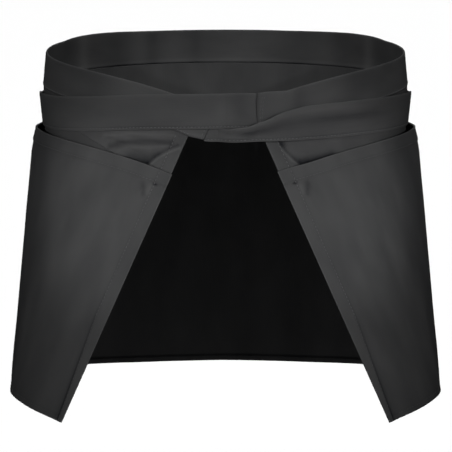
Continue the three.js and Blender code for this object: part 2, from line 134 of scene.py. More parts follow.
class Wire:
    """A socket of a shader, with the sums that the materials use."""

    def __init__(self, tree, socket):
        self.tree = tree
        self.socket = socket

    def make(self, kind, settings=None, **sockets):
        node = self.tree.nodes.new(kind)
        for key, value in (settings or {}).items():
            setattr(node, key, value)
        for key, value in sockets.items():
            slot = int(key[1:]) if key[0] == "i" and key[1:].isdigit() else key.replace("_", " ")
            put(self.tree, node.inputs[slot], value)
        return node

    def sum(self, operation, other):
        node = self.tree.nodes.new("ShaderNodeMath")
        node.operation = operation
        put(self.tree, node.inputs[0], self)
        put(self.tree, node.inputs[1], other)
        return Wire(self.tree, node.outputs[0])

    def __add__(self, other):
        return self.sum("ADD", other)

    def __radd__(self, other):
        return self.sum("ADD", other)

    def __sub__(self, other):
        return self.sum("SUBTRACT", other)

    def __rsub__(self, other):
        return (self * -1) + other

    def __mul__(self, other):
        return self.sum("MULTIPLY", other)

    def __rmul__(self, other):
        return self.sum("MULTIPLY", other)


def put(tree, socket, value):
    if isinstance(value, Wire):
        tree.links.new(value.socket, socket)
    elif isinstance(value, bpy.types.NodeSocket):
        tree.links.new(value, socket)
    else:
        socket.default_value = value


def blank_material(name, colour):
    material = bpy.data.materials.new(name)
    material.use_nodes = True
    tree = material.node_tree
    shader = tree.nodes["Principled BSDF"]
    shader.inputs["Base Color"].default_value = colour
    material.diffuse_color = colour
    return material, tree, shader


floor_material, floor_tree, floor_shader = blank_material("floor_pale", FLOOR_COLOUR)
floor_shader.inputs["Roughness"].default_value = 0.9
floor_place = floor_tree.nodes.new("ShaderNodeTexCoord")
floor_mottle = Wire(floor_tree, floor_place.outputs["Object"]).make(
    "ShaderNodeTexNoise", Vector=floor_place.outputs["Object"], Scale=0.7, Detail=2.0
)
floor_rough = Wire(floor_tree, floor_mottle.outputs[0]) * 0.06 + 0.86
put(floor_tree, floor_shader.inputs["Roughness"], floor_rough)

floor_mesh = bpy.data.meshes.new("studio_floor")
floor_form = bmesh.new()
bmesh.ops.create_grid(floor_form, x_segments=1, y_segments=1, size=FLOOR_REACH)
bmesh.ops.translate(floor_form, vec=(0, 0, cad_box[0][2] - FLOOR_DROP), verts=floor_form.verts)
floor_form.to_mesh(floor_mesh)
floor_form.free()
floor_mesh.materials.append(floor_material)
studio_floor = bpy.data.objects.new("studio_floor", floor_mesh)
bpy.context.scene.collection.objects.link(studio_floor)

# The wrap
# The panel is a flat rectangle sewn to a seam that runs round the waist and sinks to the open back.
# Every thread that runs down it joins a point of that seam to a point of the wider ring of the hem.
WAIST_HALF_WIDTH = 0.183
WAIST_HALF_DEPTH = 0.129
WAIST_POWER = 2.1
FLARE_SIDE = 0.0335
FLARE_FRONT = 0.005
FLARE_BACK = 0.050
HEM_POWER = 3.0
BACK_GAP = 0.0664
PANEL_LENGTH = 0.312
SIDE_DROOP = 0.008
BACK_DROOP = 0.0285
BAND_HEIGHT = 0.034
BAND_RISE = 0.0025
BAND_LEAN_LEFT = -0.008
BAND_LEAN_RIGHT = 0.0065
BAND_PAST_LEFT = 0.016
BAND_PAST_RIGHT = 0.001
RIGHT_LIFT = 0.009
RIGHT_LIFT_FADE = 8
BAND_END_REACH = 0.036
CLEARANCE = 0.0003
# How far the ties draw the cloth in at the sides of the body, and how far along
TIE_LOW = 0.041
TIE_TUCK = 0.0046
TIE_TUCK_REACH = 0.095
# How much lower the hem hangs, as a share of the panel's length, beside its way from the front
HEM_SAG_AT = (0, 0.11, 0.215, 0.32, 0.5, 0.65, 0.74, 0.81, 0.86, 0.905, 0.935, 1)
HEM_SAG = (
    0.0067, 0.0093, 0.0122, 0.0122, 0.004, -0.001, -0.005, -0.006, -0.0035, 0.0002, 0.0015, 0
)


def mix(low, high, share):
    return low + (high - low) * share


def smooth(low, high, value):
    share = min(max((value - low) / (high - low), 0), 1)
    return share * share * (3 - 2 * share)


def read_table(keys, values, at):
    """The values beside the keys, read between two of them."""
    after = min(max(bisect.bisect_right(keys, at), 1), len(keys) - 1)
    before = after - 1
    share = min(max((at - keys[before]) / (keys[after] - keys[before]), 0), 1)
    return mix(values[before], values[after], share)


def read_curve(keys, values, at):
    """The values beside the keys, read along a smooth curve that never swings past them."""
    after = min(max(bisect.bisect_right(keys, at), 1), len(keys) - 1)
    before = after - 1

    def slope(k):
        if k in (0, len(keys) - 1):
            return 0
        left = (values[k] - values[k - 1]) / (keys[k] - keys[k - 1])
        right = (values[k + 1] - values[k]) / (keys[k + 1] - keys[k])
        return 0 if left * right <= 0 else 2 * left * right / (left + right)

    gap = keys[after] - keys[before]
    s = min(max((at - keys[before]) / gap, 0), 1)
    rise = values[before] * (1 + 2 * s) * (1 - s) ** 2 + values[after] * s * s * (3 - 2 * s)
    return rise + gap * s * (1 - s) * (slope(before) * (1 - s) - slope(after) * s)


def ring(half_width, half_depth, power, centre):
    """The lengths round a ring from its front, and the places they reach on the +X side."""
    lengths, xs, ys = [], [], []
    for step in range(1201):
        angle = math.pi * step / 1200
        x = half_width * abs(math.sin(angle)) ** (2 / power)
        depth = half_depth * abs(math.cos(angle)) ** (2 / power)
        y = centre + math.copysign(depth, math.cos(angle))
        lengths.append(lengths[-1] + math.hypot(x - xs[-1], y - ys[-1]) if lengths else 0)
        xs.append(x)
        ys.append(y)
    return lengths, xs, ys


waist_ring = ring(WAIST_HALF_WIDTH, WAIST_HALF_DEPTH, WAIST_POWER, 0)
hem_ring = ring(
    WAIST_HALF_WIDTH + FLARE_SIDE,
    WAIST_HALF_DEPTH + (FLARE_FRONT + FLARE_BACK) / 2,
    HEM_POWER,
    (FLARE_FRONT - FLARE_BACK) / 2,
)
half_ring = waist_ring[0][-1]
half_panel = half_ring - BACK_GAP / 2
panel_width = 2 * half_panel


def on_ring(which, length):
    return read_table(which[0], which[1], length), read_table(which[0], which[2], length)


def seam_drop(distance):
    share = min(distance / half_panel, 1)
    slope = (2 * SIDE_DROOP + 6 * BACK_DROOP) / half_panel
    past = max(distance - half_panel, 0)
    return SIDE_DROOP * share**2 + BACK_DROOP * share**6 + past * slope / 2


threads = {key: [] for key in ("distance", "round", "top_x", "top_y", "top", "low_x", "low_y", "low")}
thread_step = 0.002
seam_length = hem_length = hem_slope = distance = 0
while seam_length < half_ring:
    top = -seam_drop(distance)
    if distance:
        seam_length += math.sqrt(thread_step**2 - (top - threads["top"][-1]) ** 2)
        hem_length += thread_step * math.sqrt(1 - hem_slope**2)
    top_x, top_y = on_ring(waist_ring, seam_length)
    low_x, low_y = on_ring(hem_ring, hem_length)
    low = top - math.sqrt(PANEL_LENGTH**2 - (low_x - top_x) ** 2 - (low_y - top_y) ** 2)
    hem_slope = abs(low - threads["low"][-1]) / thread_step if distance else 0
    row = (distance, seam_length, top_x, top_y, top, low_x, low_y, low)
    for key, value in zip(threads, row):
        threads[key].append(value)
    distance += thread_step


def thread(column, distance):
    return read_table(threads["distance"], threads[column], distance)


def right_lift(across, down):
    drawn = smooth(half_panel - BAND_END_REACH, half_panel + BAND_PAST_RIGHT, across)
    return RIGHT_LIFT * drawn * (1 - down / PANEL_LENGTH) ** RIGHT_LIFT_FADE


def tuck(across, down):
    """How far the ties draw the cloth in."""
    away = (abs(across) - half_ring / 2) / TIE_TUCK_REACH
    under = smooth(0, TIE_LOW, down) * (1 - smooth(TIE_LOW, 1.9 * TIE_LOW, down))
    return TIE_TUCK * math.exp(-away * away) * under


def on_panel(across, down):
    """A place on the worn panel before its folds, from its place on the flat cloth."""
    down -= right_lift(across, down)
    distance = abs(across)
    sag = read_curve(HEM_SAG_AT, HEM_SAG, distance / half_panel)
    share = down / PANEL_LENGTH * (1 + sag)
    return Vector(
        (
            math.copysign(mix(thread("top_x", distance), thread("low_x", distance), share), across),
            mix(thread("top_y", distance), thread("low_y", distance), share),
            mix(thread("top", distance), thread("low", distance), share),
        )
    )


def panel_frame(across, down):
    """The place, and the ways out of the cloth, along the seam and down the thread."""
    reach = 0.003
    along = on_panel(across + reach, down) - on_panel(across - reach, down)
    fall = on_panel(across, down + reach) - on_panel(across, down - reach)
    out = along.cross(fall).normalized()
    return on_panel(across, down), out, along.normalized(), fall.normalized()


# The twill
# Black cotton twill: fine slanting ribs, faint slubs along the warp and a little lint, matt. The
# weave follows the flat cloth, whose places in metres are the UV map of every piece. A float
# attribute of each piece makes it paler along folded edges, partly rubbed wear and partly painted
# highlight, and paints highlight on lit crests and shade into seams, creases, dents and rolls.
TWILL_DARK = (0.0083, 0.0084, 0.0086, 1)
TWILL_LIGHT = (0.0127, 0.0128, 0.0129, 1)
RIBS_PER_METRE = 1000
RIB_RELIEF = 0.00006
SLUB_RELIEF = 0.00014
WEAR_AND_PAINTED_LIGHT = 2.0


def twill_material(name, turn):
    """Twill whose warp runs down the piece, or along it where turn is a quarter."""
    material, tree, shader = blank_material(name, TWILL_LIGHT)
    places = Wire(tree, tree.nodes.new("ShaderNodeUVMap").outputs["UV"])
    turned = places.make(
        "ShaderNodeMapping", {"vector_type": "POINT"}, Vector=places, Rotation=(0, 0, turn)
    )
    turned = Wire(tree, turned.outputs["Vector"])
    ribs = places.make(
        "ShaderNodeTexWave",
        {"wave_type": "BANDS", "bands_direction": "DIAGONAL", "wave_profile": "SIN"},
        Vector=turned,
        Scale=RIBS_PER_METRE * math.pi / 5 / math.sqrt(2),
        Distortion=0.6,
        Detail=1.0,
        Detail_Scale=2.0,
    )
    ribs = Wire(tree, ribs.outputs["Fac"])
    stretched = places.make(
        "ShaderNodeMapping", {"vector_type": "POINT"}, Vector=turned, Scale=(900, 60, 1)
    )
    slubs = places.make(
        "ShaderNodeTexNoise", Vector=stretched.outputs["Vector"], Scale=1.0, Detail=3.0
    )
    slubs = Wire(tree, slubs.outputs[0])
    streaks = places.make(
        "ShaderNodeMapping", {"vector_type": "POINT"}, Vector=turned, Scale=(34, 13, 1)
    )
    clouds = places.make(
        "ShaderNodeTexNoise", Vector=streaks.outputs["Vector"], Scale=1.0, Detail=4.0
    )
    clouds = Wire(tree, clouds.outputs[0])
    wear_and_painted_light = places.make("ShaderNodeAttribute", {"attribute_name": "wear_and_painted_light"}).outputs["Fac"]
    # The attribute makes folded edges paler, partly rubbed wear and partly painted highlight, and
    # paints highlight on lit crests and shade into seams, creases, dents and rolls.
    lightness = ribs * 0.3 + slubs * 0.35 + clouds * 1.7 - 0.7 + Wire(tree, wear_and_painted_light) * WEAR_AND_PAINTED_LIGHT
    tint = places.make(
        "ShaderNodeMix",
        {"data_type": "RGBA", "clamp_factor": False},
        i0=lightness,
        i6=TWILL_DARK,
        i7=TWILL_LIGHT,
    )
    put(tree, shader.inputs["Base Color"], tint.outputs[2])
    put(tree, shader.inputs["Roughness"], slubs * 0.1 + 0.84)
    relief = ribs * RIB_RELIEF + slubs * SLUB_RELIEF
    bump = places.make("ShaderNodeBump", Height=relief, Strength=0.7, Distance=1.0)
    put(tree, shader.inputs["Normal"], bump.outputs["Normal"])
    shader.inputs["Specular IOR Level"].default_value = 0
    return material


def line(value, at, reach):
    """How near a value is to the middle of a narrow line."""
    return math.exp(-(((value - at) / reach) ** 2))


def hem_wear_and_painted_light(inward, hem, groove):
    """Pale along the fold of a hem, rubbed wear with a painted highlight, and painted shade in the
    groove that its stitches draw.
    """
    return 0.3 * line(inward, 0, 0.0010) - groove * line(inward, hem + 0.0009, 0.0010)


def run_distance(run, across, down):
    """How far a place on the flat cloth is from a run of straight stretches."""
    here = Vector((across, down))
    nearest = 1
    for start, end in zip(run, run[1:]):
        way = Vector(end) - Vector(start)
        share = min(max((here - Vector(start)).dot(way) / way.length_squared, 0), 1)
        nearest = min(nearest, (here - Vector(start) - way * share).length)
    return nearest


def read_folds(folds, across, down):
    """How far the folds stand out at a place of the flat cloth, and their painted highlight and shade.
    """
    height = painted_tone = 0
    for run, reach, stands_out, painted_shading in folds:
        near = line(run_distance(run, across, down), 0, reach)
        height += stands_out * near
        painted_tone += painted_shading * near
    return height, painted_tone


def flat_grid(columns, rows, width, length):
    """A flat sheet of cloth, its places across and down kept as the UV map."""
    form = bmesh.new()
    form.loops.layers.uv.new("flat")
    form.verts.layers.float.new("wear_and_painted_light")
    bmesh.ops.create_grid(form, x_segments=columns, y_segments=rows, size=1, calc_uvs=False)
    for vert in form.verts:
        vert.co.x = vert.co.x * width / 2
        vert.co.y = (1 - vert.co.y) * length / 2
    return form


def refine(form, cuts, inside):
    """More and smaller faces where a fold is tight."""
    edges = [edge for edge in form.edges if inside(*((edge.verts[0].co + edge.verts[1].co) / 2).xy)]
    bmesh.ops.subdivide_edges(form, edges=edges, cuts=cuts, use_grid_fill=True)


def keep_flat_places(form):
    layer = form.loops.layers.uv["flat"]
    for face in form.faces:
        for loop in face.loops:
            loop[layer].uv = loop.vert.co.xy


def link_piece(name, form, material):
    mesh = bpy.data.meshes.new(name)
    for face in form.faces:
        face.smooth = True
    form.to_mesh(mesh)
    form.free()
    mesh.materials.append(material)
    piece = bpy.data.objects.new(name, mesh)
    bpy.context.scene.collection.objects.link(piece)
    return piece


def thicken(piece, thickness, offset, weights=None):
    """Gives a sheet its thickness, as a share of it where a weight is given for each vertex."""
    modifier = piece.modifiers.new("cloth_thickness", "SOLIDIFY")
    modifier.thickness = thickness
    modifier.offset = offset
    modifier.use_even_offset = False
    modifier.use_quality_normals = True
    if weights:
        group = piece.vertex_groups.new(name="layers")
        for index, weight in enumerate(weights):
            group.add([index], weight, "REPLACE")
        modifier.vertex_group = "layers"


# The panel
# One layer of twill, turned in twice along both sides and the foot and stitched there. Behind the
# pockets it hangs a little hollow, and on the left it is caught in a fold below the tie.
CLOTH = 0.0010
HEM = 0.0020
SIDE_HEM = 0.0115
FOOT_HEM = 0.005
PANEL_IN_BAND = 0.0014
MOUTH_DROP = 0.041
POCKET_FRONT = 0.150
POCKET_OVER = 0.0012
PANEL_HOLLOW = 0.0022
GAPE_ACROSS = ((0, 0.16, 0.36, 0.55, 0.7, 0.86, 0.96, 1), (0, 0.1, 0.55, 0.95, 1, 0.6, 0.1, 0))
GAPE_DOWN = (
    (0, 0.05, 0.1, 0.3, 0.42, 0.6, 0.75, 0.85, 0.94, 1),
    (0.5, 0.85, 1.04, 1.08, 1, 0.85, 0.65, 0.55, 0.3, 0),
)
LIP_START = (-0.347, 0.026)
LIP_END = (-0.432, 0.045)
LIP_HEIGHT = 0.0034
LIP_LAP = 0.0032
pocket_edge = half_panel + POCKET_OVER


def pocket_room(across, down):
    share = (pocket_edge - abs(across)) / (pocket_edge - POCKET_FRONT)
    fall = (down - MOUTH_DROP) / (PANEL_LENGTH - MOUTH_DROP)
    return read_curve(*GAPE_ACROSS, share) * read_curve(*GAPE_DOWN, fall)


def lip_fold(across, down):
    """How far the caught fold stands out and laps down over the cloth below it."""
    run = Vector((LIP_END[0] - LIP_START[0], LIP_END[1] - LIP_START[1]))
    length = run.length
    run.normalize()
    offset = Vector((across - LIP_START[0], down - LIP_START[1]))
    along = offset.dot(run) / length
    above = offset.dot(Vector((run.y, -run.x)))
    above = -above if run.x < 0 else above
    ends = smooth(-0.12, 0.12, along) * (1 - smooth(0.86, 1.12, along))
    ends *= 1 - smooth(MOUTH_DROP - 0.004, MOUTH_DROP + 0.001, down)
    if ends == 0 or not -0.02 < above < 0.03:
        return 0, 0
    crest = math.exp(-((max(above, 0) / 0.006) ** 2)) * smooth(-0.0012, 0.0006, above)
    lap = math.exp(-((max(above - 0.0004, 0) / 0.0035) ** 2)) * smooth(-0.0016, 0.0006, above)
    return LIP_HEIGHT * ends * crest, LIP_LAP * ends * lap


# Folds and creases beside the ends of the pocket mouths, where the ties draw the cloth together:
# the run of each over the flat cloth, its reach, how far it stands out, and how pale it is painted,
# painted highlight on crests and painted shade in creases
PANEL_FOLDS = [
    (((-0.384, 0.0262), (-0.408, 0.018), (-0.431, 0.011), (-0.454, 0.004)), 0.0028, 0.0012, 0.25),
    (((-0.394, 0.0335), (-0.413, 0.0254), (-0.432, 0.0191), (-0.452, 0.0125)), 0.0024, -0.0016, -0.42),
    (((-0.406, 0.0345), (-0.430, 0.0265), (-0.450, 0.0175)), 0.0024, 0.0006, 0.15),
    (((-0.418, 0.0385), (-0.436, 0.0345), (-0.445, 0.0285)), 0.0045, -0.0006, -0.35),
    (((-0.402, 0.0440), (-0.422, 0.0430), (-0.4355, 0.0400)), 0.0040, -0.0012, -0.7),
    (((-0.441, 0.041), (-0.4461, 0.0314), (-0.4548, 0.0214), (-0.4624, 0.0138)), 0.0011, 0.0004, 0.45),
    (((-0.437, 0.041), (-0.4430, 0.0300), (-0.4515, 0.0195), (-0.459, 0.0120)), 0.0018, -0.0004, -0.4),
    # Painted shadow along the lip of the caught fold
    (((-0.349, 0.0275), (-0.3661, 0.0325), (-0.3924, 0.0380), (-0.418, 0.0420)), 0.0007, 0, -1.3),
    (((0.4575, 0.0040), (0.4552, 0.0103), (0.4500, 0.0176)), 0.0030, -0.0008, -0.55),
    (((0.4541, 0.0152), (0.4522, 0.0257), (0.4476, 0.0351), (0.4434, 0.0405)), 0.0011, 0.0004, 0.4),
    (((0.4515, 0.0180), (0.4490, 0.0265), (0.4440, 0.0345)), 0.0016, -0.0004, -0.35),
    (((0.4440, 0.0270), (0.4380, 0.0330)), 0.0045, 0.0004, 0.15),
    (((0.4400, 0.0395), (0.4290, 0.0420), (0.4060, 0.0430)), 0.0050, -0.0012, -0.9),
    (((0.4470, 0.0080), (0.4300, 0.0130), (0.4100, 0.0170)), 0.0060, -0.0006, -0.15),
]


# Soft swells and dips of the cloth between the ties and the pockets: where each lies across and
# down the flat panel, how far it reaches both ways, its slant and its height
SWELLS = [
    (-0.398, 0.0245, 0.032, 0.0042, 0.10, 0.0016),
    (-0.412, 0.0330, 0.022, 0.0036, 0.14, -0.0012),
    (-0.425, 0.0150, 0.034, 0.0045, 0.00, 0.0011),
    (-0.437, 0.0380, 0.009, 0.0075, 0.40, -0.0026),
    (0.437, 0.0370, 0.012, 0.0080, -0.40, -0.0026),
    (0.420, 0.0200, 0.030, 0.0080, 0.00, 0.0008),
    (-0.130, 0.1500, 0.060, 0.2000, 0.00, 0.0012),
    (0.110, 0.2000, 0.070, 0.2000, 0.00, 0.0010),
]


def swell(across, down):
    total = 0
    for place, depth, reach, tall, slant, height in SWELLS:
        along = across - place
        u = along / reach
        v = (down - depth - slant * along * (-1 if place < 0 else 1)) / tall
        if abs(u) < 3 and abs(v) < 3:
            total += height * math.exp(-u * u - v * v)
    return total * smooth(0, 0.012, down)


def hem_weight(across, down):
    side = smooth(half_panel - SIDE_HEM - 0.0012, half_panel - SIDE_HEM, abs(across))
    foot = smooth(PANEL_LENGTH - FOOT_HEM - 0.0012, PANEL_LENGTH - FOOT_HEM, down)
    return max(side * smooth(0.0004, 0.0032, down), foot)


def panel_point(across, down):
    place, out, along, fall = panel_frame(across, down)
    rise, lap = lip_fold(across, down)
    hollow = PANEL_HOLLOW * smooth(0, 0.32, down / PANEL_LENGTH) * pocket_room(across, down)
    ridge = 0.0003 * hem_weight(across, down)
    off = CLOTH / 2 + rise + swell(across, down) - hollow - tuck(across, down) + ridge
    if abs(across) > 0.34 and down < 0.06:
        off += read_folds(PANEL_FOLDS, across, down)[0]
    return place + out * off + fall * lap


# Wear and painted light on the panel: pale hem folds, partly rubbed wear and partly painted highlight,
# painted shade in the hem grooves, and painted highlight and shade on the folds beside the pockets.
def panel_wear_and_painted_light(across, down):
    side = hem_wear_and_painted_light(half_panel - abs(across), SIDE_HEM, 0.15)
    foot = hem_wear_and_painted_light(PANEL_LENGTH - down, FOOT_HEM, 0.8)
    folds = read_folds(PANEL_FOLDS, across, down)[1] if abs(across) > 0.34 and down < 0.06 else 0
    return side + foot + folds


panel_form = flat_grid(310, 96, panel_width, PANEL_LENGTH + PANEL_IN_BAND)
for vert in panel_form.verts:
    vert.co.y -= PANEL_IN_BAND
refine(panel_form, 2, lambda x, y: -0.466 < x < -0.335 and 0 < y < 0.052)
refine(panel_form, 2, lambda x, y: 0.405 < x < 0.466 and 0 < y < 0.052)
refine(panel_form, 2, lambda x, y: y > PANEL_LENGTH - FOOT_HEM - 0.004)
keep_flat_places(panel_form)
panel_weights = []
for vert in panel_form.verts:
    vert[panel_form.verts.layers.float["wear_and_painted_light"]] = panel_wear_and_painted_light(vert.co.x, vert.co.y)
    panel_weights.append(mix(CLOTH / HEM, 1, hem_weight(vert.co.x, vert.co.y)))
    vert.co = panel_point(vert.co.x, vert.co.y)
panel_twill = twill_material("panel_twill", 0)
panel_cloth = link_piece("panel_cloth", panel_form, panel_twill)
thicken(panel_cloth, HEM, 1, panel_weights)
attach(panel_cloth, "root")
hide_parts("apron_panel")

# The stitches
# Lockstitch in black polyester thread, glossier than the cloth and painted a little paler, partly as a
# painted highlight on the stitches, along every hem. Each stitch is a short bead of thread pressed
# into the cloth.
THREAD_COLOUR = (0.025, 0.025, 0.0255, 1)
THREAD_THICK = 0.0006
THREAD_SUNK = 0.00034
THREAD_DEEP = 0.00022
STITCH_LENGTH = 0.0025
STITCH_PITCH = 0.0036

thread_black, thread_tree, thread_shader = blank_material("thread_black", THREAD_COLOUR)
thread_places = Wire(thread_tree, thread_tree.nodes.new("ShaderNodeTexCoord").outputs["Object"])
thread_twist = thread_places.make("ShaderNodeTexNoise", Vector=thread_places, Scale=900.0)
thread_tint = thread_places.make(
    "ShaderNodeMix",
    {"data_type": "RGBA"},
    i0=thread_twist.outputs[0],
    i6=TWILL_LIGHT,
    i7=(0.028, 0.028, 0.029, 1),
)
put(thread_tree, thread_shader.inputs["Base Color"], thread_tint.outputs[2])
thread_rough = Wire(thread_tree, thread_twist.outputs[0]) * 0.2 + 0.5
put(thread_tree, thread_shader.inputs["Roughness"], thread_rough)
thread_shader.inputs["Specular IOR Level"].default_value = 0.1


def stitch(form, place, out, along, thick=THREAD_THICK):
    """One stitch, laid along the cloth where the ways out of it and along it are known."""
    rows = (along * STITCH_LENGTH, out.cross(along) * thick, out * thick)
    seat = Matrix(rows).transposed().to_4x4()
    seat.translation = place
    bmesh.ops.create_icosphere(form, subdivisions=1, radius=0.5, matrix=seat)


def sew(form, face, start, end, thick=THREAD_THICK):
    """Stitches along a straight run of the flat cloth, where face gives its outer face."""
    run = Vector(end) - Vector(start)
    count = int(run.length / STITCH_PITCH)
    step = run.normalized() * 0.001
    for number in range(count):
        at = Vector(start) + run * (number + 0.5) / count
        here = face(*at)
        along = (face(*(at + step)) - here).normalized()
        out = along.cross(face(*(at + step.orthogonal())) - here).normalized()
        stitch(form, here + out * thick * 0.2, out, along, thick)


def link_stitches(name, form):
    piece = link_piece(name, form, thread_black)
    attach(piece, "root")


side_seam = half_panel - SIDE_HEM
foot_seam = PANEL_LENGTH - FOOT_HEM
panel_stitches = bmesh.new()
for side in (-1, 1):
    sew(panel_stitches, panel_point, (side * side_seam, 0.003), (side * side_seam, MOUTH_DROP))
sew(panel_stitches, panel_point, (-POCKET_FRONT, foot_seam), (POCKET_FRONT, foot_seam))
link_stitches("panel_stitches", panel_stitches)

# The waistband
# A folded strip of the same twill with a stiffening inside, sewn over the top of the panel. Its
# edges are round folds, and it lies in long shallow dents where it turns the body.
BAND_THICK = 0.0024
# Each dent of the band: its place, its reach and how far it stands out
BAND_DENTS = [
    (-0.165, 0.016, 0.0011),
    (-0.192, 0.009, -0.0009),
    (-0.120, 0.020, -0.0006),
    (-0.055, 0.018, 0.0005),
    (0.040, 0.022, 0.0006),
    (0.118, 0.018, -0.0007),
    (0.162, 0.016, 0.0010),
    (0.190, 0.010, -0.0008),
    (-0.330, 0.025, 0.0006),
    (0.345, 0.022, -0.0007),
    (0.395, 0.016, 0.0008),
]


# Painted highlight and shade across the band's dents: the place, the reach and how pale
BAND_PAINTED_SHADING = {
    "front": [
        (-0.163, 0.008, -0.10), (-0.145, 0.006, 0.50), (-0.111, 0.012, -0.22), (-0.088, 0.007, 0.12),
        (-0.075, 0.007, -0.22), (-0.053, 0.008, 0.08), (-0.031, 0.006, -0.16), (0.011, 0.022, 0.12),
        (0.074, 0.016, -0.14), (0.102, 0.008, 0.06), (0.120, 0.010, -0.18), (0.146, 0.005, 0.50),
        (0.163, 0.008, -0.10),
    ],
    "back": [
        (0.073, 0.007, -0.2), (0.055, 0.010, 0.12), (0.100, 0.014, 0.10), (0.128, 0.010, -0.14),
        (-0.095, 0.018, 0.14), (-0.128, 0.012, -0.12),
    ],
}


def band_frame(at_foot, height):
    """The foot of the band, and the ways out of it and up it, square on its seam."""
    lean = BAND_LEAN_RIGHT if at_foot > 0 else -BAND_LEAN_LEFT
    drawn = smooth(half_panel - BAND_END_REACH, half_panel, abs(at_foot))
    across = at_foot - lean * drawn * height / BAND_HEIGHT
    foot = on_panel(across, 0)
    along = (on_panel(across + 0.003, 0) - on_panel(across - 0.003, 0)).normalized()
    out = along.cross(on_panel(across, 0.002) - foot).normalized()
    return foot, out, along.cross(out).normalized()


def band_dent(across):
    return sum(height * math.exp(-(((across - at) / reach) ** 2)) for at, reach, height in BAND_DENTS)


def band_rise(across):
    """The head of the band stands a little higher between the middle of the front and the sides."""
    away = (abs(across) / half_panel - 0.3) / 0.105
    return 1 + BAND_RISE / BAND_HEIGHT * math.exp(-away * away)


def band_point(across, height, off):
    foot, out, up = band_frame(across, height)
    calm = smooth(0, 0.012, height)
    return foot + up * height * band_rise(across) + out * (off + band_dent(across) * calm)


def band_face(across, down):
    return band_point(across, -down, BAND_THICK / 2)


# Half of the band's section, from the groove that holds the panel, down and round its foot, up the
# outer face and over to the fold at the top: the height, and the share of half its thickness
BAND_GROOVE = 0.0018
BAND_FOOT = [
    (BAND_GROOVE, 0), (BAND_GROOVE, 0.4), (BAND_GROOVE - 0.0003, 0.52), (0.0005, 0.52),
    (0.0001, 0.56), (0, 0.68), (0.0002, 0.86), (0.0007, 0.98), (0.0013, 1), (0.0022, 1), (0.0034, 1),
]
BAND_HEAD = [(0.0030, 1), (0.0018, 0.97), (0.0009, 0.82), (0.0003, 0.5), (0, 0)]
band_half = list(BAND_FOOT)
for number in range(1, 12):
    band_half.append((mix(0.0034, BAND_HEIGHT - 0.0030, number / 12), 1))
band_half += [(BAND_HEIGHT - below, share) for below, share in BAND_HEAD]
band_section = band_half + [(height, -share) for height, share in reversed(band_half[:-1])]
band_round = [0]
for before, after in zip(band_section, band_section[1:]):
    rise, way = after[0] - before[0], (after[1] - before[1]) * BAND_THICK / 2
    band_round.append(band_round[-1] + math.hypot(rise, way))

band_length = panel_width + BAND_PAST_LEFT + BAND_PAST_RIGHT
band_middle = (BAND_PAST_RIGHT - BAND_PAST_LEFT) / 2
band_form = flat_grid(360, len(band_section) - 1, band_length, 1)
for vert in band_form.verts:
    vert.co.y = read_table(range(len(band_section)), band_round, vert.co.y * (len(band_section) - 1))
keep_flat_places(band_form)
for vert in band_form.verts:
    height = read_table(band_round, [row[0] for row in band_section], vert.co.y)
    share = read_table(band_round, [row[1] for row in band_section], vert.co.y)
    # Painted light on the band: a pale line above its foot and along its top fold, partly rubbed wear
    # and partly painted highlight, painted shade in the seam at its foot, darker on the inside face,
    # and painted highlight and shade across its dents.
    inside = smooth(0.2, -0.2, share)
    foot_painted_light = 0.35 * line(height, 0.0028, 0.0008) - mix(0.35, 1.1, inside) * line(height, 0, 0.0010)
    head_painted_light = 0.35 * line(height, BAND_HEIGHT, 0.0010)
    vert.co = band_point(vert.co.x + band_middle, height, share * BAND_THICK / 2)
    painted_tones = BAND_PAINTED_SHADING["front" if vert.co.y > 0 else "back"]
    painted_tone = sum(painted_shading * line(vert.co.x, at, reach) for at, reach, painted_shading in painted_tones)
    vert[band_form.verts.layers.float["wear_and_painted_light"]] = foot_painted_light + head_painted_light + painted_tone
bmesh.ops.remove_doubles(band_form, verts=band_form.verts, dist=0.000001)
band_ends = [edge for edge in band_form.edges if edge.is_boundary]
bmesh.ops.holes_fill(band_form, edges=band_ends, sides=0)
bmesh.ops.recalc_face_normals(band_form, faces=band_form.faces)
band_twill = twill_material("band_twill", math.pi / 2)
band_cloth = link_piece("band_cloth", band_form, band_twill)
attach(band_cloth, "root")
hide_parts("waistband")

band_stitches = bmesh.new()
sew(band_stitches, band_face, (-half_panel, -0.0022), (half_panel, -0.0022))
for from_end in (0.0028, 0.0044):
    right_end = half_panel + BAND_PAST_RIGHT - from_end
    column = (right_end, -BAND_HEIGHT + 0.004), (right_end, -0.004)
    sew(band_stitches, band_face, *column, THREAD_SUNK)
left_end = -(half_panel + BAND_PAST_LEFT) + 0.0035
sew(band_stitches, band_face, (left_end, -BAND_HEIGHT + 0.004), (left_end, -0.003))
link_stitches("band_stitches", band_stitches)

# The pockets
# Two wide outer layers of twill, caught in the side and foot hems and sewn down in front. The mouth
# is turned in twice and stitched, and it stands off the panel where it turns the side of the body.
MOUTH_HEM = 0.013
POCKET_GAPE = 0.0045
MOUTH_SAG = 0.0056
MOUTH_SAG_REACH = 0.047
# The side hem narrows from here down to the foot, where it is this wide
CURL_FROM = 0.2
CURL_HEM = 0.0032


def mouth_sag(across, down):
    """The mouth sinks a little where it turns the side of the body."""
    away = (abs(across) - 0.44 * half_ring) / MOUTH_SAG_REACH
    fall = (down - MOUTH_DROP) / (PANEL_LENGTH - MOUTH_DROP)
    return MOUTH_SAG * math.exp(-away * away) * (1 - smooth(0, 0.45, fall))


def bartack_pucker(across, down):
    """The small dent beside the bartack at the back end of the mouth's stitching."""
    u = (abs(across) - (half_panel - SIDE_HEM - 0.008)) / 0.007
    v = (down - MOUTH_DROP - MOUTH_HEM - 0.004 - 0.9 * (half_panel - SIDE_HEM - abs(across))) / 0.006
    return -0.0011 * math.exp(-u * u - v * v)


